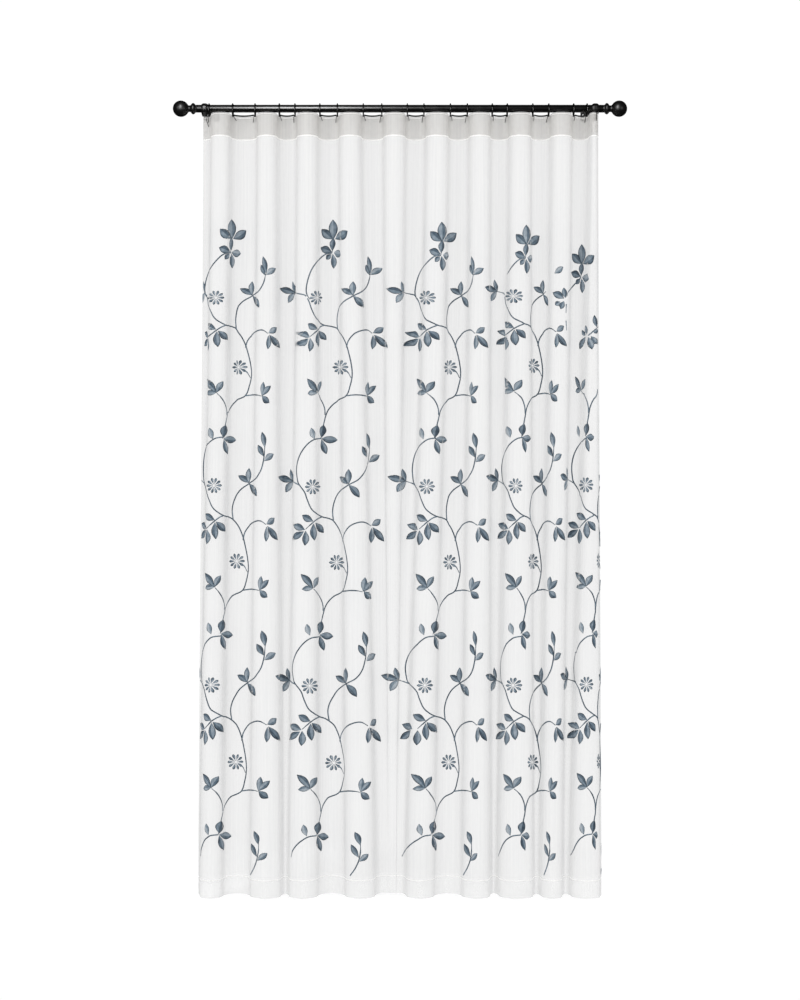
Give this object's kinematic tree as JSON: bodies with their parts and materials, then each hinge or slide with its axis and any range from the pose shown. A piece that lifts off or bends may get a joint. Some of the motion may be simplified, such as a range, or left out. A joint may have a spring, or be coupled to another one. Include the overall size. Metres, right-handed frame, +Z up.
{
  "type": "sheer voile curtain on its curtain rod",
  "caption": "Sheer white voile curtain with blue embroidered leafy vines, hung by rings and hooks from a black rod with ball ends.",
  "frame": {"origin": "on the wall plane, level with the rod's axis and midway between the two wall brackets", "axes": "+Z up, +X to the right as seen from the room, +Y into the wall; the room side of the curtain faces -Y"},
  "size_m": [1.4236, 0.1436, 2.4926],
  "materials": {
    "voile": "sheer plain-weave white voile with slate-blue satin-stitch vines",
    "heading_tape": "off-white woven heading tape",
    "black_metal": "satin black powder coat",
    "black_cord": "matte black cord"
  },
  "bodies": {
    "root": {"panel": "voile", "heading_tape": "heading_tape", "pole": "black_metal", "finial_left": "black_metal", "finial_right": "black_metal", "bracket_left": "black_metal", "bracket_right": "black_metal", "ring_01": "black_metal", "ring_02": "black_metal", "ring_03": "black_metal", "ring_04": "black_metal", "ring_05": "black_metal", "ring_06": "black_metal", "ring_07": "black_metal", "ring_08": "black_metal", "ring_09": "black_metal", "ring_10": "black_metal", "ring_11": "black_metal", "ring_12": "black_metal", "ring_13": "black_metal", "ring_14": "black_metal", "ring_15": "black_metal", "ring_16": "black_metal", "ring_17": "black_metal", "ring_18": "black_metal", "ring_19": "black_metal", "hook_01": "black_metal", "hook_02": "black_metal", "hook_03": "black_metal", "hook_04": "black_metal", "hook_05": "black_metal", "hook_06": "black_metal", "hook_07": "black_metal", "hook_08": "black_metal", "hook_09": "black_metal", "hook_10": "black_metal", "hook_11": "black_metal", "hook_12": "black_metal", "hook_13": "black_metal", "hook_14": "black_metal", "hook_15": "black_metal", "hook_16": "black_metal", "hook_17": "black_metal", "hook_18": "black_metal", "hook_19": "black_metal", "hook_left_end": "black_metal", "hook_right_end": "black_metal", "link_1": "black_cord", "link_2": "black_cord", "link_3": "black_cord", "link_4": "black_cord", "link_5": "black_cord", "link_6": "black_cord", "link_7": "black_cord", "link_8": "black_cord", "link_9": "black_cord"}
  },
  "joints": []
}
